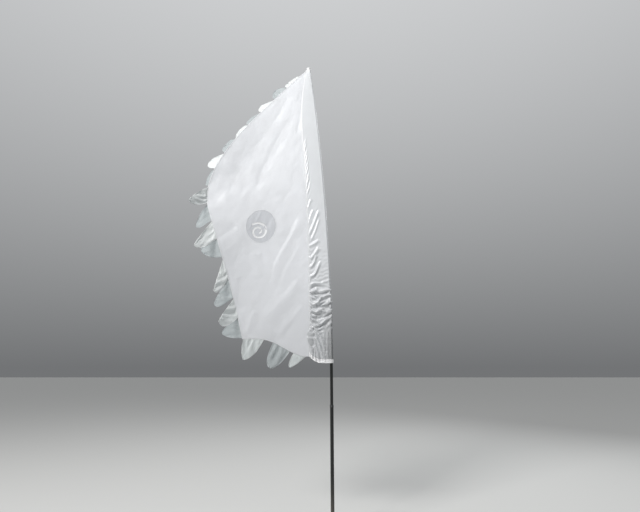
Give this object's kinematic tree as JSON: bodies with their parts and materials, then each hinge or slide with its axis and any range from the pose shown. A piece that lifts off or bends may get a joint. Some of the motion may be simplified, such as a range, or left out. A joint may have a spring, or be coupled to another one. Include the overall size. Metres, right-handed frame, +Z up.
{
  "type": "festival flag on a telescopic pole",
  "caption": "Tall white festival flag: a leaf-shaped nylon sail with a petal fringe and a sheer roundel, flown from a wide sleeve on a bending telescopic pole.",
  "frame": {"origin": "centre of the pole's flat foot, where it stands on the ground", "axes": "+Z up along the straight butt of the pole, the flag flies towards -X, and its face with the spiral looks towards -Y"},
  "size_m": [1.5686, 0.4239, 5.069],
  "materials": {
    "pole_fibreglass": "satin black wound fibreglass tube",
    "ring_binding": "glossy black resin-bound ring",
    "black_rubber": "matt moulded rubber",
    "white_nylon": "thin translucent white spinnaker nylon with a faint ripstop grid",
    "sheer_organza": "see-through silver-grey organza"
  },
  "bodies": {
    "pole_butt": {"foot_cap": "black_rubber", "pole_section_1": "pole_fibreglass", "joint_ring_1": "ring_binding"},
    "flag_on_mast": {"pole_section_2": "pole_fibreglass", "pole_section_3": "pole_fibreglass", "pole_section_4": "pole_fibreglass", "pole_section_5": "pole_fibreglass", "joint_ring_2": "ring_binding", "joint_ring_3": "ring_binding", "joint_ring_4": "ring_binding", "tip_plug": "black_rubber", "pole_sleeve": "white_nylon", "sleeve_hem": "white_nylon", "sleeve_cap": "white_nylon", "flag_panel": "white_nylon", "roundel_sheer": "sheer_organza", "roundel_spiral": "white_nylon", "petal_01": "white_nylon", "petal_02": "sheer_organza", "petal_03": "white_nylon", "petal_04": "sheer_organza", "petal_05": "white_nylon", "petal_06": "sheer_organza", "petal_07": "white_nylon", "petal_08": "sheer_organza", "petal_09": "white_nylon", "petal_10": "sheer_organza", "petal_11": "white_nylon", "petal_12": "sheer_organza", "petal_13": "white_nylon", "petal_14": "sheer_organza", "petal_15": "white_nylon", "petal_16": "sheer_organza", "petal_17": "white_nylon", "petal_18": "sheer_organza", "petal_19": "white_nylon"}
  },
  "joints": [
    {"name": "flag_swivel", "type": "hinge", "parent": "pole_butt", "child": "flag_on_mast", "pos_m": [0, 0, 1.06], "axis": [0, 0, 1], "continuous": true}
  ]
}
